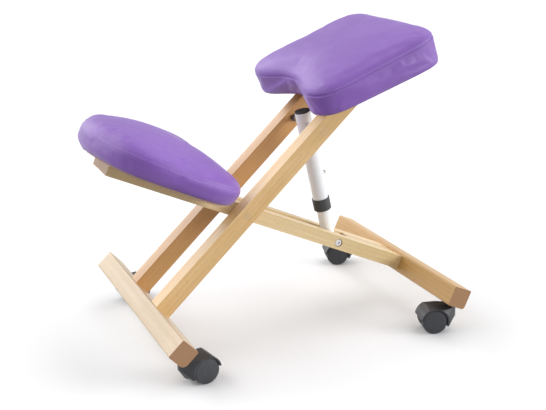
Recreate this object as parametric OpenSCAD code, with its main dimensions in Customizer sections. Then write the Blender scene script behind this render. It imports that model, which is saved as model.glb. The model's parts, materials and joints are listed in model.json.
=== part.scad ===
// Kneeling massage chair: two seat rails and a knee beam crossing like scissors,
// held open by a telescopic post, with padded seat and knee rest, on four twin-wheel casters.
// X runs across the chair (sitter's left is +X), the sitter faces -Y, Z is up, the floor is Z = 0.

/* [Stance] */
// Angle of the seat rails above the floor
rail_angle = 42.6; // [40:0.1:45]
// Angle of the knee beam below the horizontal, towards the back
beam_angle = 25.1; // [23:0.1:27]
// Height of the crossing pivot above the floor
pivot_z = 254.3; // [250:0.1:260]
// Crossing pivot's place along the chair
pivot_y = -53.2; // [-60:0.1:-40]

/* [Seat rails] */
// Front crossbar's centre to the crossing pivot
rail_lower = 262.6; // [255:0.1:270]
// Crossing pivot to the post's top pivot
rail_to_post = 220; // [210:1:230]
// Rail thickness across the chair
rail_t = 32; // [28:1:34]
// Rail height, square to its length
rail_h = 35; // [32:1:40]
// Distance between the rails' centre lines
rail_spacing = 138; // [136:1:150]

/* [Knee beam] */
// Crossing pivot to the beam's front end
beam_front = 281.3; // [270:0.1:290]
// Crossing pivot to the rear crossbar's centre
beam_rear = 415.5; // [410:0.1:420]
// Crossing pivot to the post's bottom pivot
beam_to_post = 236; // [230:1:240]
// Width of one beam board
board_w = 32; // [28:1:32]
// Thickness of a beam board
board_h = 28; // [26:1:30]
// Slot between the two boards
slot_w = 30; // [29:0.5:32]

/* [Crossbars] */
// Length of both crossbars
bar_l = 500; // [480:5:560]
// Side of a crossbar's square section
bar_a = 40; // [40:1:42]

/* [Post] */
// Radius of the upper tube
upper_r = 16; // [15.5:0.1:16.5]
// Radius of the lower tube
lower_r = 13.5; // [13:0.1:13.6]
// Wall of the lower tube
lower_wall = 1.8; // [1.2:0.1:2]
// Upper tube's length above the top pivot
upper_above = 23; // [20:1:25]
// Collar's top below the top pivot
collar_top = 165; // [160:1:175]
// Collar's length
collar_l = 26; // [22:1:30]

/* [Seat] */
// Width of the seat
seat_w = 355; // [340:1:380]
// Depth of the seat, front to back
seat_d = 288; // [270:1:300]
// Tilt of the seat, front edge down
seat_tilt = 18.8; // [15:0.1:22]
// Height of the seat's underside at its middle
seat_z = 491; // [489:0.1:494]
// Seat's middle behind the crossing pivot
seat_back = 255.3; // [250:0.1:260]

/* [Knee rest] */
// Width of the knee rest
knee_w = 358; // [340:1:380]
// Depth of the knee rest along the beam
knee_d = 294; // [280:1:300]
// Knee rest's middle ahead of the crossing pivot
knee_ahead = 180.6; // [175:0.1:185]

/* [Casters] */
// Wheel radius
wheel_r = 25; // [25:1:25]
// Distance from the swivel axis to the axle
trail = 31; // [30:0.5:32]
// Swivel axis out from the middle of the chair
caster_x = 214; // [200:1:220]
// How far the front casters are turned from pointing straight back
front_swing = 10; // [-30:1:30]
// How far the rear casters are turned from pointing straight forward
rear_swing = 15; // [-30:1:30]

/* [Hidden] */
$fn = 64;

CORNERS = [["front_left", 1, -1], ["front_right", -1, -1], ["rear_left", 1, 1], ["rear_right", -1, 1]];
CASTER_PARTS = ["hood", "stem", "axle", "inner_wheel", "outer_wheel"];

// Colours
beech = [0.87, 0.76, 0.60];
ply = [0.80, 0.68, 0.50];
vinyl = [0.56, 0.42, 0.75];
white_paint = [0.93, 0.93, 0.94];
black_plastic = [0.12, 0.12, 0.13];
zinc = [0.70, 0.71, 0.73];

// Small distances used in many places
eps = 0.01;
running = 0.07;
press = 0.03;
edge_r = 3;

// Derived sizes
rail_x = rail_spacing / 2;
rail_in = rail_x - rail_t / 2;
rail_out = rail_x + rail_t / 2;
board_x = slot_w / 2 + board_w / 2;
board_out = slot_w / 2 + board_w;
bar_half = bar_a / 2;
post_top_y = pivot_y + rail_to_post * cos(rail_angle);
post_top_z = pivot_z + rail_to_post * sin(rail_angle);
post_bottom_y = pivot_y + beam_to_post * cos(beam_angle);
post_bottom_z = pivot_z - beam_to_post * sin(beam_angle);
post_l = norm([post_bottom_y - post_top_y, post_top_z - post_bottom_z]);
post_lean = atan((post_bottom_y - post_top_y) / (post_top_z - post_bottom_z));
front_bar_y = pivot_y - rail_lower * cos(rail_angle);
rear_bar_y = pivot_y + beam_rear * cos(beam_angle);

// Fasteners
bolt_r = 4;
head_r = 6.5;
head_h = 8;
key_flats = 6;
nut_flats = 13;
nut_h = 6.5;
recess_r = 8.5;
recess_d = 14;
plug_h = 4.5;
screw_r = 3;
screw_head_r = 5;
screw_offset = 9;
screw_bite = 42;
m6_r = 3;
m6_head_r = 6;
m6_head_h = 3.5;

// Post details
cap_h = 3;
upper_wall = 2;
collar_r = 18.2;
collar_grip = 9;
lower_below = 14;
lower_top = 60;
open_hole_r = 5.2;
screw_height = 113.8;
boss_r = 4.6;
boss_reach = 18.2;
knob_r = 3.6;
knob_h = 3.4;
glide_h = 5;

// Cushions
pad_board_t = 12;
pad_board_inset = 14;
ring_steps = 72;
rest_gap = 0.1;

// Casters
axle_r = 3;
axle_z = wheel_r;
stem_r = 4;
socket_r = 5;
flange_r = 8.5;
flange_h = 1.5;
seat_face_z = 65;
socket_h = 14.5;
pocket_r = 9.5;
hood_in = 25.6;
hood_out = 29;
hood_half = 24;
nose_r = 16;
nose_low_z = 31;
nose_foot_r = 5;
hood_top = 52.3;
crown_r = 400;
neck_r = 7.5;
neck_top = 63;
wheel_in = 6.4;
wheel_out = 22.6;
web_half = wheel_in - 0.8;
hood_low_z = 14;
hood_low_tilt = 15;
front_stem_back = 15;
rear_stem_front = 4.5;
low_edge_front = 11;
low_edge_rear = 7;
front_stem_y = front_bar_y + front_stem_back;
rear_stem_y = rear_bar_y - rear_stem_front;

// ---------- Frames of reference ----------

// Origin on the crossing pivot, Y up along the rails
module rail_frame() { translate([0, pivot_y, pivot_z]) rotate([rail_angle, 0, 0]) children(); }

// Origin on the crossing pivot, Y down and back along the knee beam
module beam_frame() { translate([0, pivot_y, pivot_z]) rotate([-beam_angle, 0, 0]) children(); }

// Origin on the post's top pivot, Z up along the tubes
module post_frame() { translate([0, post_top_y, post_top_z]) rotate([post_lean, 0, 0]) children(); }

// Origin in the middle of the seat's underside
module seat_frame() { translate([0, pivot_y + seat_back, seat_z]) rotate([seat_tilt, 0, 0]) children(); }

// Origin on the floor under a caster's swivel axis, Y towards its axle
module caster_frame(corner) {
    stem_y = corner[2] < 0 ? front_stem_y : rear_stem_y;
    turn = corner[2] < 0 ? front_swing : 180 - rear_swing;
    translate([corner[1] * caster_x, stem_y, 0]) rotate([0, 0, turn]) children();
}

// ---------- Shared shapes ----------

// A round bar along X, from one x to another
module rod_x(r, from, to) { translate([from, 0, 0]) rotate([0, 90, 0]) cylinder(r = r, h = to - from); }

// A hexagon nut or key socket along X
module hex_x(flats, from, to) {
    translate([from, 0, 0]) rotate([0, 90, 0]) cylinder(d = flats / cos(30), h = to - from, $fn = 6);
}

// A round bar along Y, from one y to another
module rod_y(r, from, to) { translate([0, from, 0]) rotate([-90, 0, 0]) cylinder(r = r, h = to - from); }

// A square of side a, with its own radius at the lower front corner
module rounded_square(a, r, low_r) {
    h = a / 2;
    corner = [[1, 1, r], [-1, 1, r], [1, -1, r], [-1, -1, low_r]];
    difference() {
        square(a, center = true);
        for (c = corner) translate([c[0] * h, c[1] * h]) square(2 * c[2], center = true);
    }
    for (c = corner) translate([c[0] * (h - c[2]), c[1] * (h - c[2])]) intersection() {
        circle(c[2]);
        translate([c[0] * c[2], c[1] * c[2]]) square(2 * c[2], center = true);
    }
}

// A crossbar across the chair, centred on the origin
module crossbar(low_r) {
    rotate([90, 0, 90]) linear_extrude(bar_l, center = true) rounded_square(bar_a, edge_r, low_r);
}

// Countersunk wood screws along Y, heads at y = 0, for both sides of the chair
module wood_screws(side_x, length) {
    for (sx = [-1, 1], sz = [-1, 1]) translate([sx * side_x, 0, sz * screw_offset]) {
        rod_y(screw_r, 0, length);
        rod_y(screw_head_r, 0, m6_head_h);
    }
}

// The holes those screws go through
module screw_holes(side_x, length) {
    for (sx = [-1, 1], sz = [-1, 1]) translate([sx * side_x, 0, sz * screw_offset]) {
        rod_y(screw_r + press, -1, length + 1);
        rod_y(screw_head_r + press, -1, m6_head_h);
    }
}

// A cap-head bolt along X with its head on the left side of the chair
module cap_bolt(head_face, tail) {
    rod_x(bolt_r, -tail, head_face);
    difference() {
        rod_x(head_r, head_face, head_face + head_h);
        hex_x(key_flats, head_face + head_h / 2, head_face + head_h + 1);
    }
}

// A hexagon nut on a bolt along X
module nut_x(from, to) {
    difference() {
        hex_x(nut_flats, from, to);
        rod_x(bolt_r + press, from - 1, to + 1);
    }
}

// A ring along X
module ring_x(r_out, r_in, from, to) {
    difference() {
        rod_x(r_out, from, to);
        rod_x(r_in, from - 1, to + 1);
    }
}

// ---------- Cushion shape ----------

// A soft bump, 1 at the middle and 0 at half-width w
function bump(x, w) = abs(x) < w ? 0.5 + 0.5 * cos(180 * x / w) : 0;

// How far towards the front (-1) or back (+1) a point lies, squared
function lean_sq(y, d, s) = pow(max(0, min(1, s * y / (d / 2))), 2);

// Plan outline: a squarish oval, hollowed at front and back; shape is
// [width, depth, squareness, front hollow, its half-width, rear hollow, its half-width, taper]
function plan(s) = [
    for (i = [0:ring_steps - 1])
        let (
            a = i * 360 / ring_steps,
            r = pow(pow(abs(cos(a)) / (s[0] / 2), s[2]) + pow(abs(sin(a)) / (s[1] / 2), s[2]), -1 / s[2]),
            x = r * cos(a),
            y = r * sin(a)
        )
        [x * (1 + s[7] * y / (s[1] / 2)),
         y + s[3] * lean_sq(y, s[1], -1) * bump(x, s[4]) - s[5] * lean_sq(y, s[1], 1) * bump(x, s[6])]
];

// The outline moved in towards the middle by a distance
function inset(points, d) = [for (p = points) p * (1 - d / norm(p))];

// The outline shrunk by a factor
function shrunk(points, k) = [for (p = points) p * k];

// Height of the top edge at y, from the front height to the back height
function edge_height(y, d, front, back) = front + (back - front) * (y / d + 0.5);

// A cushion: pocket for its board, rounded bottom edge, upright side, rounded top edge, crowned
// top; build is [front height, back height, crown, top edge radius, bottom edge radius]
module cushion(shape, build) {
    outline = plan(shape);
    d = shape[1];
    top_r = build[3];
    low_r = build[4];
    pocket = [for (z = [pad_board_t + 2 * rest_gap, 0])
        [for (p = inset(outline, pad_board_inset - 1)) [p[0], p[1], z]]];
    low = [for (a = [0:30:90]) [for (p = inset(outline, low_r * (1 - sin(a))))
        [p[0], p[1], low_r * (1 - cos(a))]]];
    side = [for (a = [0:22.5:90]) [for (p = inset(outline, top_r * (1 - cos(a))))
        [p[0], p[1], edge_height(p[1], d, build[0], build[1]) - top_r * (1 - sin(a))]]];
    dome = [for (k = [0.8, 0.55, 0.3, 0.1]) [for (p = shrunk(inset(outline, top_r), k))
        [p[0], p[1], edge_height(p[1], d, build[0], build[1]) + build[2] * (1 - k * k)]]];
    rings = concat(pocket, low, side, dome);
    n = ring_steps;
    last = len(rings) - 1;
    points = [for (r = rings) each r];
    walls = [for (j = [0:last - 1], i = [0:n - 1])
        let (k = (i + 1) % n)
        each [[j * n + i, (j + 1) * n + k, j * n + k], [j * n + i, (j + 1) * n + i, (j + 1) * n + k]]];
    pocket_face = [[for (i = [0:n - 1]) i]];
    roof_face = [[for (i = [0:n - 1]) last * n + n - 1 - i]];
    polyhedron(points, concat(walls, pocket_face, roof_face), convexity = 6);
}

seat_shape = [seat_w, seat_d, 6, 38, 134, 7, 115, 0];
seat_build = [57, 65, 11, 16, 7];
knee_shape = [knee_w, knee_d, 2.9, -9, 120, 46, 99, 0.06];
knee_build = [60, 52, 22, 21, 10];

// The plywood board in the bottom of a cushion
module pad_board(shape) {
    linear_extrude(pad_board_t) polygon(inset(plan(shape), pad_board_inset));
}

// ---------- Seat rails and front crossbar ----------

module seat_rail(side) {
    color(beech) difference() {
        rail_frame() translate([side * rail_x, 0, 0]) difference() {
            translate([-rail_t / 2, -rail_lower + bar_half, -rail_h / 2])
                cube([rail_t, rail_lower + rail_to_post + 200, rail_h]);
            for (y = [0, rail_to_post]) translate([0, y, 0]) {
                rod_x(bolt_r + press, -rail_t, rail_t);
                translate([side * (rail_t / 2 - recess_d), 0, 0])
                    rotate([0, side * 90, 0]) cylinder(r = recess_r, h = recess_d + 1);
            }
        }
        rail_frame() translate([0, -rail_lower - bar_half, 0]) screw_holes(rail_x, bar_a + screw_bite);
        seat_frame() translate([-150, -200, 0]) cube([300, 500, 300]);
        seat_frame() crosspiece_dowel_shapes(press);
    }
}
module left_seat_rail() { seat_rail(1); }
module right_seat_rail() { seat_rail(-1); }

module front_crossbar() {
    color(beech) difference() {
        rail_frame() translate([0, -rail_lower, 0]) crossbar(low_edge_front);
        rail_frame() translate([0, -rail_lower - bar_half, 0]) screw_holes(rail_x, bar_a + screw_bite);
        for (c = CORNERS) if (c[2] < 0) caster_frame(c) socket_hole();
    }
}

module rail_screws() {
    color(zinc) rail_frame() translate([0, -rail_lower - bar_half, 0])
        wood_screws(rail_x, bar_a + screw_bite);
}

// ---------- Seat ----------

crosspiece_y = -30;
crosspiece_d = 42;
crosspiece_h = 30;
dowel_r = 4;
dowel_l = 38;
dowel_rows = [-20, 2];
seat_bolt_x = 34;

// Two dowels at each end of the crosspiece, half in it and half in the rail
module crosspiece_dowel_shapes(grow) {
    half = dowel_l / 2 + grow;
    for (s = [-1, 1], y = dowel_rows) translate([s * (rail_in - 1), y, -crosspiece_h / 2])
        rod_x(dowel_r + grow, -half, half);
}

module seat_crosspiece() {
    color(beech) seat_frame() difference() {
        translate([-rail_in, crosspiece_y, -crosspiece_h]) cube([2 * rail_in, crosspiece_d, crosspiece_h]);
        crosspiece_dowel_shapes(press);
        for (x = [-seat_bolt_x, seat_bolt_x]) translate([x, crosspiece_y + crosspiece_d / 2, 0])
            m6_hole(-crosspiece_h);
    }
}

module crosspiece_dowels() {
    color(beech) seat_frame() crosspiece_dowel_shapes(0);
}

// An M6 bolt standing on its head, from the head's face up
module m6_bolt(face_z, length) {
    translate([0, 0, face_z]) cylinder(r = m6_r, h = length);
    translate([0, 0, face_z]) cylinder(r = m6_head_r, h = m6_head_h);
}

module m6_hole(face_z) {
    translate([0, 0, face_z - 1]) cylinder(r = m6_r + press, h = 200);
    translate([0, 0, face_z - 1]) cylinder(r = m6_head_r + press, h = m6_head_h + 1);
}

module seat_board() {
    color(ply) seat_frame() difference() {
        pad_board(seat_shape);
        for (x = [-seat_bolt_x, seat_bolt_x]) translate([x, crosspiece_y + crosspiece_d / 2, -1])
            cylinder(r = m6_r + press, h = 11);
    }
}

module seat_bolts() {
    color(zinc) seat_frame() for (x = [-seat_bolt_x, seat_bolt_x])
        translate([x, crosspiece_y + crosspiece_d / 2, 0]) m6_bolt(-crosspiece_h, crosspiece_h + 9);
}

module seat_cushion() {
    color(vinyl) seat_frame() translate([0, 0, rest_gap]) cushion(seat_shape, seat_build);
}

// ---------- Crossing pivot ----------

module crossing_bolt() {
    color(zinc) rail_frame() cap_bolt(rail_out - recess_d, rail_out - recess_d + nut_h + 0.5);
}

module crossing_nut() {
    color(zinc) rail_frame() nut_x(-rail_out + recess_d - nut_h, -rail_out + recess_d);
}

module crossing_washers() {
    gap = 0.15;
    color(black_plastic) rail_frame() {
        ring_x(12, bolt_r + running, board_out + gap, rail_in);
        ring_x(12, bolt_r + running, -rail_in, -board_out - gap);
    }
}

// Wooden plugs over the bolt's ends, both sides
module bolt_plugs() {
    rod_x(recess_r - press, rail_out - plug_h, rail_out);
    rod_x(recess_r - press, -rail_out, plug_h - rail_out);
}

module crossing_plugs() {
    color(beech) rail_frame() bolt_plugs();
}

// ---------- Post's top pivot ----------

module post_top_bolt() {
    color(zinc) rail_frame() translate([0, rail_to_post, 0])
        cap_bolt(rail_out - recess_d, rail_out - recess_d + nut_h + 0.5);
}

module post_top_nuts() {
    color(zinc) rail_frame() translate([0, rail_to_post, 0]) {
        nut_x(-rail_out + recess_d - nut_h, -rail_out + recess_d);
        nut_x(-rail_in, -rail_in + nut_h);
        nut_x(rail_in - nut_h, rail_in);
    }
}

module post_top_plugs() {
    color(beech) rail_frame() translate([0, rail_to_post, 0]) bolt_plugs();
}

// ---------- Knee beam and rear crossbar ----------

beam_end = beam_rear - bar_half;
front_block_l = 60;
rear_block_from = 272;
knee_bolt_rows = [-250, -120];
cup_r = 8.5;
cup_d = 7;

module beam_board(side) {
    color(beech) beam_frame() difference() {
        translate([side * board_x - board_w / 2, -beam_front, -board_h / 2])
            cube([board_w, beam_front + beam_end, board_h]);
        rod_x(bolt_r + running, -100, 100);
        translate([0, beam_to_post, 0]) {
            rod_x(bolt_r + press, -100, 100);
            translate([side * (board_out - cup_d), 0, 0]) rotate([0, side * 90, 0])
                cylinder(r = cup_r, h = cup_d + 1);
        }
        translate([0, beam_rear + bar_half, 0]) rotate([0, 0, 180])
            screw_holes(board_x, bar_a + screw_bite);
        for (y = knee_bolt_rows) translate([side * board_x, y, 0]) m6_hole(-board_h / 2);
    }
}
module left_beam_board() { beam_board(1); }
module right_beam_board() { beam_board(-1); }

module beam_front_block() {
    color(beech) beam_frame() translate([-slot_w / 2, -beam_front, -board_h / 2])
        cube([slot_w, front_block_l, board_h]);
}

module beam_rear_block() {
    color(beech) beam_frame() translate([-slot_w / 2, rear_block_from, -board_h / 2])
        cube([slot_w, beam_end - rear_block_from, board_h]);
}

module rear_crossbar() {
    color(beech) difference() {
        beam_frame() translate([0, beam_rear, 0]) mirror([0, 1, 0]) crossbar(low_edge_rear);
        beam_frame() translate([0, beam_rear + bar_half, 0]) rotate([0, 0, 180])
            screw_holes(board_x, bar_a + screw_bite);
        for (c = CORNERS) if (c[2] > 0) caster_frame(c) socket_hole();
    }
}

module beam_screws() {
    color(zinc) beam_frame() translate([0, beam_rear + bar_half, 0]) rotate([0, 0, 180])
        wood_screws(board_x, bar_a + screw_bite);
}

// ---------- Knee rest ----------

module knee_frame() { beam_frame() translate([0, -knee_ahead, board_h / 2]) children(); }

module knee_board() {
    color(ply) difference() {
        knee_frame() pad_board(knee_shape);
        beam_frame() for (s = [-1, 1], y = knee_bolt_rows) translate([s * board_x, y, 0])
            cylinder(r = m6_r + press, h = board_h / 2 + 10);
    }
}

module knee_bolts() {
    color(zinc) beam_frame() for (s = [-1, 1], y = knee_bolt_rows)
        translate([s * board_x, y, 0]) m6_bolt(-board_h / 2, board_h + 9);
}

module knee_cushion() {
    color(vinyl) knee_frame() translate([0, 0, rest_gap]) cushion(knee_shape, knee_build);
}

// ---------- Post's bottom pivot ----------

bottom_head_h = 5.5;

module post_bottom_bolt() {
    color(zinc) beam_frame() translate([0, beam_to_post, 0]) {
        rod_x(bolt_r, -board_out + 0.5, board_out - cup_d);
        difference() {
            rod_x(head_r + 0.5, board_out - cup_d, board_out - cup_d + bottom_head_h);
            hex_x(key_flats, board_out - 4, board_out);
        }
    }
}

module post_bottom_nut() {
    color(zinc) beam_frame() translate([0, beam_to_post, 0]) nut_x(-board_out + 0.8, -board_out + cup_d);
}

module post_bottom_washers() {
    gap = 0.15;
    color(black_plastic) beam_frame() translate([0, beam_to_post, 0]) {
        ring_x(8, bolt_r + press, lower_r + gap, slot_w / 2);
        ring_x(8, bolt_r + press, -slot_w / 2, -lower_r - gap);
    }
}

// ---------- Telescopic post ----------

upper_in = upper_r - upper_wall;
collar_bottom = collar_top + collar_l;
upper_end = collar_top + collar_grip;

module upper_tube() {
    color(white_paint) post_frame() difference() {
        translate([0, 0, -upper_end]) cylinder(r = upper_r, h = upper_end + upper_above);
        translate([0, 0, -upper_end - 1]) cylinder(r = upper_in, h = upper_end + upper_above + 2);
        rod_x(bolt_r + running, -upper_r - 1, upper_r + 1);
        translate([0, 0, -screw_height]) rod_y(m6_r + press, 0, upper_r + 1);
    }
}

module upper_tube_cap() {
    color(black_plastic) post_frame() {
        translate([0, 0, upper_above]) cylinder(r = upper_r, h = cap_h - 1);
        translate([0, 0, upper_above + cap_h - 1]) cylinder(r1 = upper_r, r2 = upper_r - 1, h = 1);
        translate([0, 0, upper_above - 9]) difference() {
            cylinder(r = upper_in - press, h = 9 + eps);
            translate([0, 0, -1]) cylinder(r = upper_in - 2, h = 9);
        }
    }
}

module tube_collar() {
    chamfer = 1.6;
    color(black_plastic) post_frame() translate([0, 0, -collar_bottom]) difference() {
        union() {
            cylinder(r1 = collar_r - chamfer, r2 = collar_r, h = chamfer);
            translate([0, 0, chamfer]) cylinder(r = collar_r, h = collar_l - chamfer);
        }
        translate([0, 0, -1]) cylinder(r = lower_r + running, h = collar_l + 2);
        translate([0, 0, collar_l - collar_grip]) cylinder(r = upper_r + press, h = collar_grip + 1);
    }
}

module screw_boss() {
    color(white_paint) post_frame() translate([0, 0, -screw_height]) difference() {
        rod_y(boss_r, upper_r - 1, boss_reach);
        rod_y(m6_r + running, 0, boss_reach + 1);
        translate([0, 0, -10]) cylinder(r = upper_r + press, h = 20);
    }
}

module locking_screw() {
    color(zinc) post_frame() translate([0, 0, -screw_height]) difference() {
        union() {
            rod_y(m6_r, lower_r + 0.3, boss_reach + 0.2);
            rod_y(knob_r, boss_reach + 0.2, boss_reach + 0.2 + knob_h);
        }
        translate([0, boss_reach + 1.6, 0]) rotate([-90, 0, 0]) cylinder(d = 3 / cos(30), h = 10, $fn = 6);
    }
}

module lower_tube() {
    color(white_paint) post_frame() difference() {
        translate([0, 0, -post_l - lower_below])
            cylinder(r = lower_r, h = post_l + lower_below - lower_top);
        translate([0, 0, -post_l - lower_below - 1]) cylinder(r = lower_r - lower_wall, h = post_l);
        translate([0, 0, -post_l]) rod_x(open_hole_r, -lower_r - 1, lower_r + 1);
    }
}

module lower_tube_glide() {
    color(black_plastic) post_frame() {
        translate([0, 0, -lower_top]) cylinder(r = upper_in - 0.15, h = glide_h);
        translate([0, 0, -lower_top - 12]) difference() {
            cylinder(r = lower_r - lower_wall - press, h = 12 + eps);
            translate([0, 0, -1]) cylinder(r = lower_r - lower_wall - 2, h = 12);
        }
    }
}

// ---------- Casters ----------

// The pocket and bore that a caster's socket sits in
module socket_hole() {
    translate([0, 0, seat_face_z - 30]) cylinder(r = pocket_r, h = 30);
    translate([0, 0, seat_face_z - 1]) cylinder(r = socket_r + press, h = socket_h + 1);
}

module socket() {
    difference() {
        union() {
            translate([0, 0, seat_face_z - flange_h]) cylinder(r = flange_r, h = flange_h);
            translate([0, 0, seat_face_z - eps]) cylinder(r = socket_r, h = socket_h);
        }
        translate([0, 0, seat_face_z - flange_h - 1])
            cylinder(r = stem_r + running, h = socket_h + flange_h + 0.5);
    }
}

module front_caster_sockets() {
    color(zinc) for (c = CORNERS) if (c[2] < 0) caster_frame(c) socket();
}

module rear_caster_sockets() {
    color(zinc) for (c = CORNERS) if (c[2] > 0) caster_frame(c) socket();
}

module caster_stem(corner) {
    color(zinc) caster_frame(corner) translate([0, 0, 36])
        cylinder(r = stem_r, h = seat_face_z + socket_h - 37 - flange_h);
}

module at_axle() { translate([0, trail, axle_z]) children(); }

// One-piece hood: an arch over both wheels blended into a rounded nose round the stem, hollowed
// for the wheels, with a web between them
module caster_hood(corner) {
    color(black_plastic) caster_frame(corner) difference() {
        union() {
            intersection() {
                hull() {
                    at_axle() rod_x(hood_out, -hood_half, hood_half, $fn = 48);
                    translate([0, 0, nose_low_z]) cylinder(r = nose_r, h = hood_top - nose_low_z, $fn = 32);
                    translate([0, 0, hood_low_z]) cylinder(r = nose_foot_r, h = 1, $fn = 32);
                }
                translate([0, -60, hood_top - crown_r]) rod_y(crown_r, 0, 140);
                translate([0, 0, hood_low_z]) rotate([hood_low_tilt, 0, 0])
                    translate([-60, -60, 0]) cube([120, 160, 60]);
            }
            translate([0, 0, hood_top - 8]) cylinder(r = neck_r, h = neck_top - hood_top + 8);
            at_axle() rod_x(9, -web_half, web_half);
            translate([-web_half, trail - 9, axle_z]) cube([2 * web_half, 18, 12]);
        }
        for (s = [-1, 1]) at_axle()
            rotate([0, 0, s * 90 - 90]) rod_x(hood_in, web_half, wheel_out + 5);
        at_axle() rod_x(axle_r + press, -30, 30);
        translate([0, 0, 36 - press]) cylinder(r = stem_r + press, h = 60);
    }
}

module caster_axle(corner) {
    color(zinc) caster_frame(corner) at_axle() rod_x(axle_r, 4.5 - wheel_out, wheel_out - 4.5);
}

// Half-section of a wheel: radius, then distance out from the caster's middle
wheel_section = [
    [0, wheel_out - 3.5], [axle_r + running, wheel_out - 3.5], [axle_r + running, wheel_in], [8, wheel_in],
    [9, wheel_in + 1.4], [21, wheel_in + 1.4], [22, wheel_in], [24, wheel_in], [wheel_r, wheel_in + 1.4],
    [wheel_r, wheel_out - 1.9], [24.6, wheel_out - 0.9], [23.4, wheel_out], [18, wheel_out + 0.5],
    [9, wheel_out + 0.9], [0, wheel_out + 1]
];

module caster_wheel(corner, side) {
    color(black_plastic) caster_frame(corner) at_axle() rotate([0, side * 90, 0])
        rotate_extrude() polygon(wheel_section);
}

// The wheel nearer the chair's middle is the inner one
module caster_part(corner, part) {
    out = corner[1] * (corner[2] < 0 ? 1 : -1);
    if (part == "hood") caster_hood(corner);
    if (part == "stem") caster_stem(corner);
    if (part == "axle") caster_axle(corner);
    if (part == "inner_wheel") caster_wheel(corner, -out);
    if (part == "outer_wheel") caster_wheel(corner, out);
}

// ---------- Assembly ----------

left_seat_rail();
right_seat_rail();
front_crossbar();
rail_screws();
seat_crosspiece();
crosspiece_dowels();
seat_board();
seat_bolts();
seat_cushion();
crossing_bolt();
crossing_nut();
crossing_washers();
crossing_plugs();
post_top_bolt();
post_top_nuts();
post_top_plugs();
left_beam_board();
right_beam_board();
beam_front_block();
beam_rear_block();
rear_crossbar();
beam_screws();
knee_board();
knee_bolts();
knee_cushion();
post_bottom_bolt();
post_bottom_nut();
post_bottom_washers();
upper_tube();
upper_tube_cap();
tube_collar();
screw_boss();
locking_screw();
lower_tube();
lower_tube_glide();
front_caster_sockets();
rear_caster_sockets();
for (c = CORNERS, p = CASTER_PARTS)
    caster_part(c, p);
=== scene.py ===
"""Looks of the kneeling massage chair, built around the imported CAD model. Lengths are in metres."""

import json
import math

import bmesh
import bpy
from mathutils import Matrix, Vector
from mathutils.bvhtree import BVHTree
from mathutils.kdtree import KDTree


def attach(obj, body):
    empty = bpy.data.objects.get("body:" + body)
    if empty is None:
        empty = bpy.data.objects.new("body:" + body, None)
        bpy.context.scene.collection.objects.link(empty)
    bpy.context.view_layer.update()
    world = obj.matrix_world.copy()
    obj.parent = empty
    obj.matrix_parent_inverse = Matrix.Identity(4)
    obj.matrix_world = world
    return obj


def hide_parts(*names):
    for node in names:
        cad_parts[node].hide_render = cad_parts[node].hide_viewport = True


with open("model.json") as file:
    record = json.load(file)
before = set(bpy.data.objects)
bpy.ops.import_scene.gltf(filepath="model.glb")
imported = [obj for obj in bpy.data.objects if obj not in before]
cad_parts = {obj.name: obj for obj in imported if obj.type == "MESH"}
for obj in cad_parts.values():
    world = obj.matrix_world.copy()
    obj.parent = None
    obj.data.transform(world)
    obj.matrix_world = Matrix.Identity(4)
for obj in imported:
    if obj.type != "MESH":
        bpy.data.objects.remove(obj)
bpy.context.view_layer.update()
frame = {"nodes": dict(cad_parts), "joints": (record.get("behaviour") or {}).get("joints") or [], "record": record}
nodes = frame["nodes"]
joints = {j["name"]: j for j in frame["joints"]}
mounts = {m["name"]: m for m in frame["record"]["mounts"]}
scene = bpy.context.scene
MM = 0.001

# ---------- The chair's own frames of reference ----------

crossing = Vector(joints["main_fold"]["pos_m"])
post_top = Vector(joints["post_tilt"]["pos_m"])
rail_dir = (post_top - crossing).normalized()
beam_up = Vector(mounts["rear_crossbar_top"]["axis"]).normalized()
beam_dir = beam_up.cross(Vector((1, 0, 0))).normalized()
RAIL_ANGLE = math.atan2(rail_dir.z, rail_dir.y)
BEAM_ANGLE = math.atan2(beam_dir.z, beam_dir.y)
SEAT_TILT = math.radians(18.8)
SEAT_PLACE = Vector((0, crossing.y + 255.3 * MM, 491 * MM))  # middle of the board's underside
KNEE_AHEAD = 180.6 * MM  # along the beam, from the crossing to the knee rest's middle
KNEE_RISE = 14 * MM  # square to the beam, from the crossing to the knee board's underside
KNEE_PLACE = crossing - beam_dir * KNEE_AHEAD + beam_up * KNEE_RISE

seat_frame = Matrix.Translation(SEAT_PLACE) @ Matrix.Rotation(SEAT_TILT, 4, "X")
knee_frame = Matrix.Translation(KNEE_PLACE) @ Matrix.Rotation(BEAM_ANGLE, 4, "X")

# ---------- Camera ----------


def make_camera():
    """The photographer's place: beside the knee rest, looking slightly down."""
    azimuth, elevation, roll = math.radians(67.04), math.radians(17.63), math.radians(-1.29)
    place = Vector((1.82295, -0.73636, 0.86997))
    back = Vector((
        math.sin(azimuth) * math.cos(elevation),
        -math.cos(azimuth) * math.cos(elevation),
        math.sin(elevation),
    ))
    level_right = Vector((math.cos(azimuth), math.sin(azimuth), 0))
    level_up = back.cross(level_right)
    right = level_right * math.cos(roll) + level_up * math.sin(roll)
    up = back.cross(right)
    data = bpy.data.cameras.new("camera")
    data.sensor_width = 36
    data.lens = 67.76
    data.clip_end = 60
    camera = bpy.data.objects.new("camera", data)
    scene.collection.objects.link(camera)
    camera.matrix_world = Matrix.Translation(place) @ Matrix((right, up, back)).transposed().to_4x4()
    scene.camera = camera


make_camera()

# ---------- Materials ----------


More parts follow.
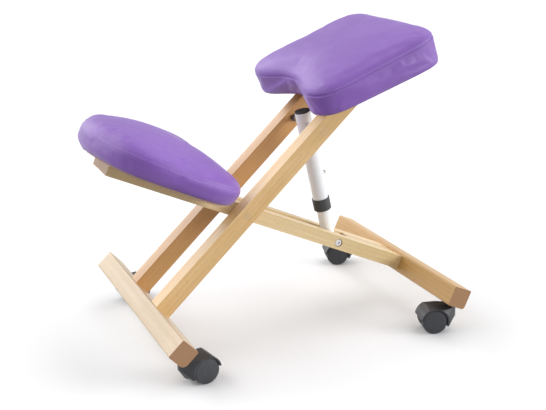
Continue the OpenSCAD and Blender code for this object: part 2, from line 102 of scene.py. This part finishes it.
class Shader:
    """A node material with a Principled surface and short ways to add and join nodes."""

    def __init__(self, name, **sockets):
        self.material = bpy.data.materials.new(name)
        self.material.use_nodes = True
        self.tree = self.material.node_tree
        self.surface = self.tree.nodes["Principled BSDF"]
        for socket, value in sockets.items():
            self.surface.inputs[socket.replace("_", " ")].default_value = value
        self.coordinates = self.tree.nodes.new("ShaderNodeTexCoord")

    def node(self, kind, values=None, **settings):
        """Adds a node; values are its inputs, and an input that is a socket is joined to it."""
        made = self.tree.nodes.new("ShaderNode" + kind)
        for name, value in settings.items():
            setattr(made, name, value)
        for name, value in (values or {}).items():
            if isinstance(value, bpy.types.NodeSocket):
                self.tree.links.new(value, made.inputs[name])
            else:
                made.inputs[name].default_value = value
        return made

    def join(self, output, name):
        """Joins an output to one of the surface's inputs."""
        self.tree.links.new(output, self.surface.inputs[name])

    def turned(self, rotation, location=(0, 0, 0)):
        """Object coordinates turned so that a chosen direction lies along Y."""
        return self.node("Mapping", {
            "Vector": self.coordinates.outputs["Object"],
            "Rotation": rotation,
            "Location": location,
        }).outputs[0]

    def stretched(self, vector, scale):
        return self.node("Mapping", {"Vector": vector, "Scale": scale}).outputs[0]

    def noise(self, vector, scale, detail=3.0, roughness=0.5, distortion=0.0):
        return self.node("TexNoise", {
            "Vector": vector, "Scale": scale, "Detail": detail, "Roughness": roughness,
            "Distortion": distortion,
        }).outputs["Fac"]

    def cell_edges(self, vector, scale):
        """Distance to the nearest edge between Voronoi cells."""
        made = self.node("TexVoronoi", {"Vector": vector, "Scale": scale}, feature="DISTANCE_TO_EDGE")
        return made.outputs["Distance"]

    def ramp(self, factor, stops):
        """A colour ramp from (position, grey or colour) stops."""
        made = self.node("ValToRGB", {"Fac": factor})
        elements = made.color_ramp.elements
        while len(elements) < len(stops):
            elements.new(0.5)
        for element, (position, value) in zip(elements, stops):
            element.position = position
            colour = (value, value, value) if isinstance(value, (int, float)) else value
            element.color = (*colour, 1)
        return made.outputs["Color"]

    def mix(self, factor, a, b):
        made = self.tree.nodes.new("ShaderNodeMix")
        made.data_type = "RGBA"
        for socket, value in ((made.inputs["Factor"], factor), (made.inputs[6], a), (made.inputs[7], b)):
            if isinstance(value, bpy.types.NodeSocket):
                self.tree.links.new(value, socket)
            elif isinstance(value, (int, float)):
                socket.default_value = value
            else:
                socket.default_value = (*value, 1)
        return made.outputs[2]

    def math(self, how, a, b=0.0):
        return self.node("Math", {0: a, 1: b}, operation=how).outputs[0]

    def bump(self, height, distance, strength, normal=None):
        values = {"Height": height, "Distance": distance, "Strength": strength}
        if normal is not None:
            values["Normal"] = normal
        return self.node("Bump", values).outputs[0]


LIGHT_BEECH = (0.79, 0.545, 0.285)
DARK_BEECH = (0.67, 0.415, 0.175)
OLIVE_BEECH = (0.60, 0.42, 0.17)
RAY_BEECH = (0.48, 0.27, 0.11)
END_BEECH = (0.42, 0.215, 0.10)
END_DARK = (0.30, 0.145, 0.06)


def tinted(colour, tint):
    """A timber colour times a piece's tint, kept below white."""
    return tuple(min(0.92, c * t) for c, t in zip(colour, tint))


def beech(name, rotation, grain, seed, tint):
    """Lacquered steamed beech whose grain runs along a direction; rotation brings it onto Y,
    and tint scales this piece's colours, for some pieces as painted shade."""
    s = Shader(name, Coat_Weight=0.3, Coat_Roughness=0.3)
    along = s.turned(rotation, (0.037 * seed, 0.31 * seed, 0.053 * seed))
    heart = s.turned(rotation, (0.11 + 0.013 * (seed % 5), 0, 0.06 + 0.017 * (seed % 3)))
    rings = s.node("TexWave", {
        "Vector": s.stretched(heart, (1, 0.06, 1)), "Scale": 38, "Distortion": 5.0, "Detail": 4,
        "Detail Scale": 1.6,
    }, wave_type="RINGS", rings_direction="Y").outputs["Fac"]
    fibre = s.noise(s.stretched(along, (1, 0.025, 1)), 620, 4, 0.6)
    bands = s.noise(s.stretched(along, (1, 0.10, 1)), 26, 4, 0.6, 0.8)
    patches = s.noise(s.stretched(along, (1, 0.35, 1)), 9, 3, 0.6)
    rays = s.noise(s.stretched(along, (1, 0.14, 1)), 900, 1, 0.4)
    tone = s.math("ADD", s.math("MULTIPLY", rings, 0.12), s.math("MULTIPLY", fibre, 0.30))
    tone = s.math("ADD", tone, s.math("MULTIPLY", bands, 0.62))
    pale, dark = tinted(LIGHT_BEECH, tint), tinted(DARK_BEECH, tint)
    colour = s.mix(s.ramp(tone, [(0.38, 0.0), (0.72, 1.0)]), pale, dark)
    colour = s.mix(s.ramp(patches, [(0.45, 0.0), (0.70, 0.5)]), colour, tinted(OLIVE_BEECH, tint))
    colour = s.mix(s.ramp(rays, [(0.64, 0.0), (0.70, 0.40)]), colour, tinted(RAY_BEECH, tint))
    normal = s.coordinates.outputs["Normal"]
    facing = s.node("VectorMath", {0: normal, 1: grain}, operation="DOT_PRODUCT")
    end = s.math("ABSOLUTE", facing.outputs["Value"])
    pores = s.noise(along, 1500, 2, 0.6)
    growth = s.node("TexWave", {"Vector": heart, "Scale": 95, "Distortion": 1.2, "Detail": 2},
                    wave_type="RINGS", rings_direction="Y").outputs["Fac"]
    cut = s.math("ADD", s.math("MULTIPLY", pores, 0.7), s.math("MULTIPLY", growth, 0.3))
    end_colour = s.mix(s.ramp(cut, [(0.35, 0.0), (0.68, 1.0)]), END_BEECH, END_DARK)
    s.join(s.mix(s.ramp(end, [(0.75, 0.0), (0.95, 0.92)]), colour, end_colour), "Base Color")
    s.join(s.ramp(tone, [(0.3, 0.34), (0.85, 0.48)]), "Roughness")
    s.join(s.bump(fibre, 0.00010, 0.45), "Normal")
    return s.material


def plywood(name, rotation):
    """Plain birch ply; rotation brings the sheet's own Z onto Z, so the plies show on its edges."""
    s = Shader(name, Roughness=0.65)
    flat = s.turned(rotation)
    fibre = s.noise(s.stretched(flat, (0.03, 1, 1)), 420, 4, 0.6)
    figure = s.noise(s.stretched(flat, (0.12, 1, 0.3)), 26, 3, 0.6, 1.2)
    streaks = s.math("MULTIPLY", s.math("ADD", fibre, figure), 0.6)
    face = s.mix(streaks, (0.62, 0.44, 0.25), (0.42, 0.26, 0.12))
    plies = s.node("TexWave", {"Vector": flat, "Scale": 170.0}, wave_type="BANDS", bands_direction="Z")
    dark_plies = s.ramp(plies.outputs["Fac"], [(0.45, 0.0), (0.55, 0.25)])
    s.join(s.mix(dark_plies, face, (0.30, 0.17, 0.08)), "Base Color")
    s.join(s.bump(fibre, 0.00015, 0.6), "Normal")
    return s.material


PURPLE_LIGHT = (0.275, 0.122, 0.53)
PURPLE_DARK = (0.235, 0.098, 0.47)
PURPLE_CLOUD = (0.20, 0.09, 0.40)
PURPLE_GRAIN_SHADE = (0.13, 0.06, 0.27)


def leatherette(name):
    """Purple upholstery vinyl: fine pebbled grain with painted shade in its valleys, broad soft stretch marks, a
    low sheen.
    """
    s = Shader(name, Sheen_Weight=0.05, Sheen_Roughness=0.4, Coat_Weight=0.12, Coat_Roughness=0.32)
    place = s.coordinates.outputs["Object"]
    wide = s.noise(place, 9, 3, 0.55, 0.3)
    cloudy = s.noise(place, 45, 4, 0.6)
    pebbles = s.cell_edges(place, 780)
    pores = s.noise(place, 2600, 2, 0.5)
    base = s.mix(s.ramp(wide, [(0.35, 0.0), (0.68, 1.0)]), PURPLE_LIGHT, PURPLE_DARK)
    base = s.mix(s.math("MULTIPLY", cloudy, 0.16), base, PURPLE_CLOUD)
    # Painted shade: the valleys between the pebbles of the grain are darkened.
    valley = s.ramp(pebbles, [(0.0, 0.35), (0.12, 0.0)])
    s.join(s.mix(valley, base, PURPLE_GRAIN_SHADE), "Base Color")
    s.join(s.ramp(cloudy, [(0.3, 0.36), (0.75, 0.48)]), "Roughness")
    fine = s.bump(s.ramp(pebbles, [(0.0, 0.0), (0.22, 1.0)]), 0.00022, 0.55)
    fine = s.bump(pores, 0.00005, 0.5, fine)
    s.join(s.bump(s.noise(place, 60, 3, 0.55), 0.0006, 0.35, fine), "Normal")
    return s.material


def thread(name):
    """Twisted polyester thread, a little lighter than the cover: partly its own tone and partly a painted
    highlight on the raised stitches.
    """
    s = Shader(name, Roughness=0.5, Sheen_Weight=0.2)
    ply = s.noise(s.coordinates.outputs["Object"], 2200, 2, 0.6)
    twist = s.ramp(ply, [(0.35, 0.0), (0.7, 1.0)])
    s.join(s.mix(twist, (0.46, 0.31, 0.71), (0.33, 0.19, 0.57)), "Base Color")
    s.join(s.bump(ply, 0.00015, 0.7), "Normal")
    return s.material


def painted_steel(name):
    """White powder coat with a slight orange peel."""
    s = Shader(name, Roughness=0.34, Coat_Weight=0.3, Coat_Roughness=0.2)
    place = s.coordinates.outputs["Object"]
    peel = s.noise(place, 900, 2, 0.5)
    dust = s.noise(place, 70, 4, 0.6)
    film = s.ramp(dust, [(0.45, 0.0), (0.75, 0.35)])
    s.join(s.mix(film, (0.90, 0.92, 0.95), (0.80, 0.82, 0.86)), "Base Color")
    s.join(s.bump(peel, 0.00008, 0.5), "Normal")
    return s.material


def black_plastic(name, colour=(0.032, 0.033, 0.037), roughness=(0.38, 0.55), grain=1900):
    """Moulded black nylon: fine spark-eroded texture and faint handling marks."""
    s = Shader(name)
    place = s.coordinates.outputs["Object"]
    texture = s.noise(place, grain, 3, 0.6)
    marks = s.noise(s.stretched(place, (1, 1, 0.4)), 90, 4, 0.65)
    worn = tuple(1.9 * c for c in colour)
    s.join(s.mix(s.ramp(marks, [(0.45, 0.0), (0.8, 0.6)]), colour, worn), "Base Color")
    s.join(s.ramp(marks, [(0.35, roughness[0]), (0.7, roughness[1])]), "Roughness")
    s.join(s.bump(texture, 0.00009, 0.55), "Normal")
    return s.material


def plated_steel(name, blue, yellow):
    """Plated steel with turned marks and a slight change of tint from place to place."""
    s = Shader(name, Metallic=1.0)
    place = s.coordinates.outputs["Object"]
    turned = s.noise(s.stretched(place, (0.08, 1, 1)), 1600, 3, 0.6)
    cast = s.noise(place, 120, 3, 0.6)
    s.join(s.mix(s.ramp(cast, [(0.35, 0.0), (0.7, 1.0)]), blue, yellow), "Base Color")
    s.join(s.ramp(turned, [(0.3, 0.22), (0.75, 0.40)]), "Roughness")
    s.join(s.bump(turned, 0.00004, 0.4), "Normal")
    return s.material


# ---------- Dressing the CAD nodes ----------


def dress(name, material, bevel=0.0, segments=3):
    """Gives a CAD node its material and, where its edges are eased, a bevel."""
    piece = nodes[name]
    piece.data.materials.clear()
    piece.data.materials.append(material)
    if bevel:
        weld = piece.modifiers.new("weld", "WELD")
        weld.merge_threshold = 0.00001
        eased = piece.modifiers.new("eased_edges", "BEVEL")
        eased.width = bevel
        eased.segments = segments
        eased.limit_method = "ANGLE"
        eased.angle_limit = math.radians(40)
        eased.use_clamp_overlap = True
        shading = piece.modifiers.new("shading", "WEIGHTED_NORMAL")
        shading.keep_sharp = True


ONTO_Y_FROM_RAIL = (-RAIL_ANGLE, 0, 0)
ONTO_Y_FROM_BEAM = (-BEAM_ANGLE, 0, 0)
ONTO_Y_FROM_X = (0, 0, math.pi / 2)

# Each wooden node: which way its grain runs, and the width of its eased edges in millimetres
WOOD = {
    "left_seat_rail": ("rail", 2.2), "right_seat_rail": ("rail", 2.2),
    "front_crossbar": ("across", 0), "rear_crossbar": ("across", 0),
    "left_beam_board": ("beam", 2.0), "right_beam_board": ("beam", 2.0),
    "beam_front_block": ("beam", 0.8), "beam_rear_block": ("beam", 0.8),
    "seat_crosspiece": ("across", 1.5), "crosspiece_dowels": ("across", 0),
    "crossing_plugs": ("rail", 0.4), "post_top_plugs": ("rail", 0.4),
}
# Each way: the rotation that brings it onto Y, and its direction
GRAIN = {
    "rail": (ONTO_Y_FROM_RAIL, rail_dir),
    "beam": (ONTO_Y_FROM_BEAM, beam_dir),
    "across": (ONTO_Y_FROM_X, Vector((1, 0, 0))),
}
# Red, green and blue scales of some pieces' colours. The right seat rail's darkens it as painted shade between the
# rails, and the rear crossbar's darkens it as painted shade under the seat;
# the front crossbar's makes it darker and less orange, the beam boards' make them paler, and the left seat rail's
# changes it a little.
TINTS_AND_PAINTED_SHADE = {
    "front_crossbar": (0.83, 0.91, 1.15), "rear_crossbar": (0.83, 0.72, 0.46),
    "left_beam_board": (1.14, 1.28, 1.42), "right_beam_board": (1.14, 1.28, 1.42),
    "right_seat_rail": (0.82, 0.66, 0.48), "left_seat_rail": (1.05, 1.02, 0.92),
}
for seed, (name, (way, bevel)) in enumerate(WOOD.items(), start=1):
    rotation, direction = GRAIN[way]
    tint = TINTS_AND_PAINTED_SHADE.get(name, (1, 1, 1))
    dress(name, beech("beech_" + name, rotation, direction, seed, tint), bevel * MM)

dress("seat_board", plywood("plywood_seat", (-SEAT_TILT, 0, 0)))
dress("knee_board", plywood("plywood_knee", ONTO_Y_FROM_BEAM))

white_steel = painted_steel("white_steel")
for name in ("upper_tube", "lower_tube", "screw_boss"):
    dress(name, white_steel)

cap_black = black_plastic("cap_plastic", (0.010, 0.010, 0.012), (0.5, 0.65))
dress("upper_tube_cap", cap_black)
black = black_plastic("black_plastic")
for name in ("tube_collar", "lower_tube_glide", "crossing_washers", "post_bottom_washers"):
    dress(name, black)

dress("post_top_nuts", plated_steel("black_zinc", (0.10, 0.10, 0.11), (0.13, 0.12, 0.11)))
zinc = plated_steel("zinc_steel", (0.70, 0.71, 0.74), (0.74, 0.72, 0.66))
for name in ("rail_screws", "beam_screws", "seat_bolts", "knee_bolts", "crossing_bolt", "crossing_nut",
             "post_top_bolt", "post_bottom_bolt", "post_bottom_nut", "locking_screw",
             "front_caster_sockets", "rear_caster_sockets"):
    dress(name, zinc)

hood_black = black_plastic("hood_plastic", (0.030, 0.031, 0.036), (0.34, 0.5), 1500)
wheel_black = black_plastic("wheel_plastic", (0.040, 0.041, 0.047), (0.40, 0.56), 1300)
CASTERS = ("front_left_caster", "front_right_caster", "rear_left_caster", "rear_right_caster")
for caster in CASTERS:
    dress(caster + "_hood", hood_black, 0.7 * MM, 2)
    for wheel in ("_inner_wheel", "_outer_wheel"):
        dress(caster + wheel, wheel_black)
    for metal in ("_stem", "_axle"):
        dress(caster + metal, zinc)

# ---------- Cushions ----------

AROUND = 160  # points round the outline
LOW_STEPS = 5  # steps of the lower edge's rounding
SIDE_RINGS = (0.25, 0.5, 0.75)  # parts of the way up the side
EDGE_STEPS = 6  # steps of the top edge's rounding
TOP_RINGS = (0.965, 0.93, 0.89, 0.84, 0.78, 0.70, 0.61, 0.51, 0.40, 0.28, 0.16, 0.05)
SHRINK = 0.0015  # room for the swelling
UNDER_BOARD = 0.001  # the loft's underside below the board's
VOXEL, QUICK_VOXEL = 0.004, 0.008
FILLING_PRESSURE = 4.0
SWELL_FRAMES = 20
MOST_SWELL = 0.003  # as far as the simulation may move a point
HELD_BELOW = 0.006  # height up to which the board holds the cover
HEM = 0.030  # the fold's width under the board
HEM_TOP = 0.0015  # cover below this height belongs to the fold
INSIDE_BOARD = 0.004  # height in the board at which the cover beyond the fold is hidden
COVER_THICKNESS = 0.0008
SEAM_SAMPLES = 720  # rough points round the seam
SEAM_STEP = 0.001
SEAM_WIDTH = 0.0020
STITCH_ROW = 0.0034  # from the seam to each row
STITCH_PITCH = 0.0048


def bump_at(x, half_width):
    """1 at the middle, falling softly to 0 at half_width."""
    return 0.5 + 0.5 * math.cos(math.pi * x / half_width) if abs(x) < half_width else 0.0


def smooth(t):
    """Eased step from 0 to 1."""
    t = max(0.0, min(1.0, t))
    return t * t * (3 - 2 * t)


class Pad:
    """A cushion's sizes, in its own frame: X across, Y back, Z up from its board's underside.

    width, depth, squareness, taper: the plan's oval, and how much it widens to the rear
    front_hollow, rear_hollow: how far the plan is cut in over each half width; below 0 it bulges
    hollow_fade, undercut: how fast the hollows fade inwards, and the front hollow's cut at the foot
    rim, shoulder: heights of the widest line and of the rounded top edge's end
    edge_round, low_round, tuck: the top edge's inset, the lower edge's, and how far the foot is in
    crown, fullness, valley: the top's rise and its shape, and the groove that deepens to the rear
    seam_rise, seam_depth, thread_radius: the seam's height over the rim, its groove, its stitches
    """

    def __init__(self, **sizes):
        self.__dict__.update(sizes)

    def outline(self, angle, k=1.0, low=0.0):
        """Plan point at an angle, shrunk by k: a squarish oval, hollowed or bulged at front and rear.
        The hollows fade a little faster than the oval, and the front is cut under by low."""
        c, s = math.cos(angle), math.sin(angle)
        w, d, p = self.width / 2, self.depth / 2, self.squareness
        r = ((abs(c) / w) ** p + (abs(s) / d) ** p) ** (-1 / p)
        x, y = r * c, r * s
        front = max(0.0, min(1.0, -y / d)) ** 2 * bump_at(x, self.front_half)
        rear = max(0.0, min(1.0, y / d)) ** 2 * bump_at(x, self.rear_half)
        hollow = (self.front_hollow * front - self.rear_hollow * rear) * k ** self.hollow_fade
        hollow += low * self.undercut * front
        return Vector((x * (1 + self.taper * y / d) * k, y * k + hollow))

    def rim(self, y):
        """Height of the widest line round the side, from front to back."""
        return self.rim_front + (self.rim_back - self.rim_front) * (y / self.depth + 0.5)

    def shoulder(self, y):
        """Height where the rounded top edge ends, from front to back."""
        return self.shoulder_front + (self.shoulder_back - self.shoulder_front) * (y / self.depth + 0.5)

    def top(self, point, k):
        """Height of the top where the plan is shrunk by k."""
        rise = self.crown * (1 - k ** self.fullness)
        valley = bump_at(point.x, self.valley_half) * smooth((point.y / self.depth + 0.1) / 0.6)
        return self.shoulder(point.y) + rise - self.valley * valley * (1 - 0.4 * k)


def moved_in(point, distance):
    """The plan point moved towards the pad's middle."""
    return point * (1 - distance / point.length)


def pad_mesh(name, pad):
    """Closed loft of a pad: flat underside, rolled lower edge, side, rounded shoulder, crowned top.
    It is SHRINK smaller than the pad's sizes, because the simulation swells it."""
    bm = bmesh.new()
    angles = [2 * math.pi * i / AROUND for i in range(AROUND)]
    rings = []

    def outline(inward, low=0.0):
        return [moved_in(pad.outline(a, 1, low), SHRINK + inward) for a in angles]

    def ring(points, height):
        rings.append([bm.verts.new((p.x, p.y, height(p))) for p in points])

    for i in range(LOW_STEPS + 1):
        a = math.pi / 2 * i / LOW_STEPS
        roll = pad.low_round * (1 - math.sin(a)) + pad.tuck
        ring(outline(roll, 1), lambda p: pad.low_round * (1 - math.cos(a)) - UNDER_BOARD)
    for t in SIDE_RINGS:
        ring(
            outline(pad.tuck * (1 - t), 1 - t),
            lambda p: pad.low_round + (pad.rim(p.y) - SHRINK - pad.low_round) * t,
        )
    for i in range(EDGE_STEPS + 1):
        a = math.pi / 2 * i / EDGE_STEPS
        ring(
            outline(pad.edge_round * (1 - math.cos(a))),
            lambda p: pad.rim(p.y) + (pad.shoulder(p.y) - pad.rim(p.y)) * math.sin(a) - SHRINK,
        )
    inset = pad.edge_round + SHRINK
    for k in TOP_RINGS:
        points = [moved_in(pad.outline(a, k), inset * k) for a in angles]
        ring(points, lambda p: pad.top(p, k) - SHRINK)
    for low, high in zip(rings, rings[1:]):
        for i in range(AROUND):
            j = (i + 1) % AROUND
            bm.faces.new((low[i], low[j], high[j], high[i]))
    bm.faces.new(list(reversed(rings[0])))
    bm.faces.new(rings[-1])
    mesh = bpy.data.meshes.new(name)
    bm.to_mesh(mesh)
    bm.free()
    return mesh


def shown(name, mesh, material):
    """Puts a mesh in the scene with one material."""
    piece = bpy.data.objects.new(name, mesh)
    scene.collection.objects.link(piece)
    mesh.materials.clear()
    mesh.materials.append(material)
    return piece


def apply_modifier(piece, name):
    bpy.context.view_layer.objects.active = piece
    bpy.ops.object.modifier_apply(modifier=name)


def inflate(piece):
    """Cloth simulation: the cover swells under its filling, held near its underside."""
    start = [v.co.copy() for v in piece.data.vertices]
    group = piece.vertex_groups.new(name="held")
    group.add([v.index for v in piece.data.vertices if v.co.z < HELD_BELOW], 1.0, "REPLACE")
    cloth = piece.modifiers.new("cloth", "CLOTH")
    settings = cloth.settings
    settings.quality = 6
    settings.mass = 0.4
    settings.tension_stiffness = 30
    settings.compression_stiffness = 20
    settings.shear_stiffness = 8
    settings.bending_stiffness = 2.0
    settings.vertex_group_mass = "held"
    settings.use_pressure = True
    settings.uniform_pressure_force = FILLING_PRESSURE
    settings.effector_weights.gravity = 0
    cloth.collision_settings.use_collision = False
    for number in range(1, SWELL_FRAMES + 1):
        scene.frame_set(number)
    apply_modifier(piece, "cloth")
    for vertex, rest in zip(piece.data.vertices, start):
        move = vertex.co - rest
        if move.length > MOST_SWELL:
            vertex.co = rest + move * (MOST_SWELL / move.length)
    piece.vertex_groups.clear()
    scene.frame_set(1)


def remesh(piece, voxel):
    """Turns the loft's long faces into even ones that the simulation can bend."""
    modifier = piece.modifiers.new("remesh", "REMESH")
    modifier.mode = "VOXEL"
    modifier.voxel_size = voxel
    apply_modifier(piece, "remesh")


def refine(piece):
    """Smooths the remeshed cover, divides its faces once and shades it smooth."""
    smoother = piece.modifiers.new("smooth", "SMOOTH")
    smoother.factor = 0.5
    smoother.iterations = 3
    apply_modifier(piece, "smooth")
    finer = piece.modifiers.new("finer", "SUBSURF")
    finer.levels = finer.render_levels = 1
    apply_modifier(piece, "finer")
    for polygon in piece.data.polygons:
        polygon.use_smooth = True


def surface_of(piece):
    """A search tree over a piece's faces."""
    return BVHTree.FromPolygons(
        [v.co for v in piece.data.vertices],
        [tuple(p.vertices) for p in piece.data.polygons],
    )


def seam_line(piece, pad):
    """Evenly spaced points along the seam with their outward normals, on the cover's surface."""
    tree = surface_of(piece)
    rough = []
    for i in range(SEAM_SAMPLES):
        p = pad.outline(2 * math.pi * i / SEAM_SAMPLES)
        rough.append(Vector((p.x, p.y, pad.rim(p.y) + pad.seam_rise)))
    found = [tree.find_nearest(p) for p in rough]
    points = [hit[0] for hit in found]
    normals = [hit[1] for hit in found]
    line, carried = [], 0.0
    for i, here in enumerate(points):
        there = points[(i + 1) % len(points)]
        length = (there - here).length
        while carried < length:
            t = carried / length
            normal = normals[i].lerp(normals[(i + 1) % len(normals)], t).normalized()
            line.append((here.lerp(there, t), normal))
            carried += SEAM_STEP
        carried -= length
    return line


def press_seam(piece, line, depth):
    """Draws the cover in along a seam, with a soft shoulder on both sides."""
    finder = KDTree(len(line))
    for i, (point, _) in enumerate(line):
        finder.insert(point, i)
    finder.balance()
    for vertex in piece.data.vertices:
        _, i, distance = finder.find(vertex.co)
        if distance > 4 * SEAM_WIDTH:
            continue
        groove = math.exp(-((distance / SEAM_WIDTH) ** 2))
        shoulder = math.exp(-(((distance - 2.4 * SEAM_WIDTH) / SEAM_WIDTH) ** 2))
        vertex.co += line[i][1] * depth * (0.28 * shoulder - groove)


def stitches(name, piece, line, radius):
    """Two rows of small rounded stitches, one on each side of the seam."""
    tree = surface_of(piece)
    bm = bmesh.new()
    every = max(1, round(STITCH_PITCH / (line[1][0] - line[0][0]).length))
    for sign in (-1, 1):
        for i in range(0, len(line) - every, every):
            point, normal = line[i]
            along = (line[(i + 2) % len(line)][0] - line[i - 2][0]).normalized()
            place, facing = tree.find_nearest(point + along.cross(normal) * STITCH_ROW * sign)[:2]
            turn = Matrix((along, facing.cross(along).normalized(), facing)).transposed().to_4x4()
            size = Matrix.Diagonal((STITCH_PITCH * 0.40, radius, radius, 1))
            bmesh.ops.create_uvsphere(
                bm, u_segments=8, v_segments=5, radius=1,
                matrix=Matrix.Translation(place + facing * radius * 0.25) @ turn @ size,
            )
    mesh = bpy.data.meshes.new(name)
    bm.to_mesh(mesh)
    bm.free()
    for polygon in mesh.polygons:
        polygon.use_smooth = True
    return mesh


def wrap_under(piece, pad):
    """Folds the cover under its board: a flat hem shows round the edge, and the board inside it."""
    reach = [pad.outline(2 * math.pi * i / 360).length for i in range(360)]
    for vertex in piece.data.vertices:
        if vertex.co.z > INSIDE_BOARD:
            continue
        angle = math.atan2(vertex.co.y, vertex.co.x)
        if reach[round(math.degrees(angle)) % 360] - math.hypot(vertex.co.x, vertex.co.y) > HEM:
            vertex.co.z = INSIDE_BOARD
        elif vertex.co.z < HEM_TOP:
            vertex.co.z = -COVER_THICKNESS


SEAT = Pad(
    width=0.355, depth=0.288, squareness=6.0, taper=0.0, hollow_fade=1.3,
    front_hollow=0.031, front_half=0.134, rear_hollow=-0.003, rear_half=0.115, undercut=0.007,
    rim_front=0.041, rim_back=0.052, shoulder_front=0.057, shoulder_back=0.067,
    edge_round=0.016, low_round=0.005, tuck=0.003,
    crown=0.012, fullness=2.2, valley=0.0, valley_half=0.1,
    seam_rise=0.0, seam_depth=0.0015, thread_radius=0.00055,
)
KNEE = Pad(
    width=0.358, depth=0.296, squareness=2.9, taper=0.06, hollow_fade=1.2,
    front_hollow=-0.010, front_half=0.120, rear_hollow=0.048, rear_half=0.090, undercut=0.0,
    rim_front=0.030, rim_back=0.027, shoulder_front=0.063, shoulder_back=0.054,
    edge_round=0.038, low_round=0.020, tuck=0.003,
    crown=0.021, fullness=2.1, valley=0.014, valley_half=0.065,
    seam_rise=0.013, seam_depth=0.0004, thread_radius=0.00026,
)


def cushion(name, pad, place, body, node):
    """A sewn cushion: loft, swollen by the cloth simulation, then its seam and topstitching."""
    piece = shown(name + "_upholstery", pad_mesh(name, pad), vinyl)
    remesh(piece, VOXEL)
    inflate(piece)
    refine(piece)
    wrap_under(piece, pad)
    line = seam_line(piece, pad)
    press_seam(piece, line, pad.seam_depth)
    sewn = stitches(name + "_topstitching", piece, line, pad.thread_radius)
    for made in (piece, shown(name + "_topstitching", sewn, thread_purple)):
        made.data.transform(place)
        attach(made, body)
    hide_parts(node)


vinyl = leatherette("purple_leatherette")
thread_purple = thread("purple_thread")
cushion("seat", SEAT, seat_frame, "seat_frame", "seat_cushion")
cushion("knee", KNEE, knee_frame, "knee_beam", "knee_cushion")

# ---------- Studio ----------


def make_floor():
    """A white floor that takes shadows and reflections but throws no diffuse light back."""
    half = 20  # metres, far past the picture's edge
    corners = [(-half, -half, 0), (half, -half, 0), (half, half, 0), (-half, half, 0)]
    mesh = bpy.data.meshes.new("studio_floor")
    mesh.from_pydata(corners, [], [(0, 1, 2, 3)])
    s = Shader("studio_floor", Roughness=0.7, Specular_IOR_Level=0.1, Emission_Strength=0.02)
    s.surface.inputs["Emission Color"].default_value = (1, 1, 1, 1)
    tone = s.noise(s.coordinates.outputs["Object"], 1.3, 2, 0.5)
    s.join(s.mix(tone, (0.90, 0.905, 0.915), (0.92, 0.925, 0.935)), "Base Color")
    floor = shown("studio_floor", mesh, s.material)
    floor.visible_diffuse = False


def sun(name, way, spread, power):
    """A large softbox far away: way points from the light to the chair."""
    data = bpy.data.lights.new(name, "SUN")
    data.angle = math.radians(spread)
    data.energy = power
    light = bpy.data.objects.new(name, data)
    scene.collection.objects.link(light)
    light.rotation_euler = Vector(way).to_track_quat("-Z", "Y").to_euler()


def make_light():
    """Bright sky above and dim below, a key from the front, a rim light across the chair from its
    far side, a top light from behind, and fills at the rear and the front."""
    world = bpy.data.worlds.new("studio")
    world.use_nodes = True
    tree = world.node_tree
    background = tree.nodes["Background"]
    place = tree.nodes.new("ShaderNodeTexCoord")
    split = tree.nodes.new("ShaderNodeSeparateXYZ")
    fade = tree.nodes.new("ShaderNodeMapRange")
    fade.inputs["From Min"].default_value = -0.25
    fade.inputs["From Max"].default_value = 0.35
    fade.inputs["To Min"].default_value = 0.32
    fade.inputs["To Max"].default_value = 0.60
    tree.links.new(place.outputs["Generated"], split.inputs[0])
    tree.links.new(split.outputs["Z"], fade.inputs["Value"])
    tree.links.new(fade.outputs[0], background.inputs["Strength"])
    background.inputs["Color"].default_value = (0.98, 0.985, 1.0, 1)
    scene.world = world
    sun("key", (0.30, 0.65, -0.75), 45, 0.85)
    sun("rim", (0.88, 0.27, -0.40), 40, 0.95)
    sun("top", (0.20, -0.50, -0.80), 50, 0.70)
    sun("fill", (-0.55, -0.80, -0.15), 40, 2.6)
    sun("front", (0.55, 0.80, -0.25), 40, 0.55)


make_floor()
make_light()
scene.view_settings.view_transform = "Standard"
scene.view_settings.look = "None"
scene.view_settings.exposure = 0
scene.view_settings.gamma = 1
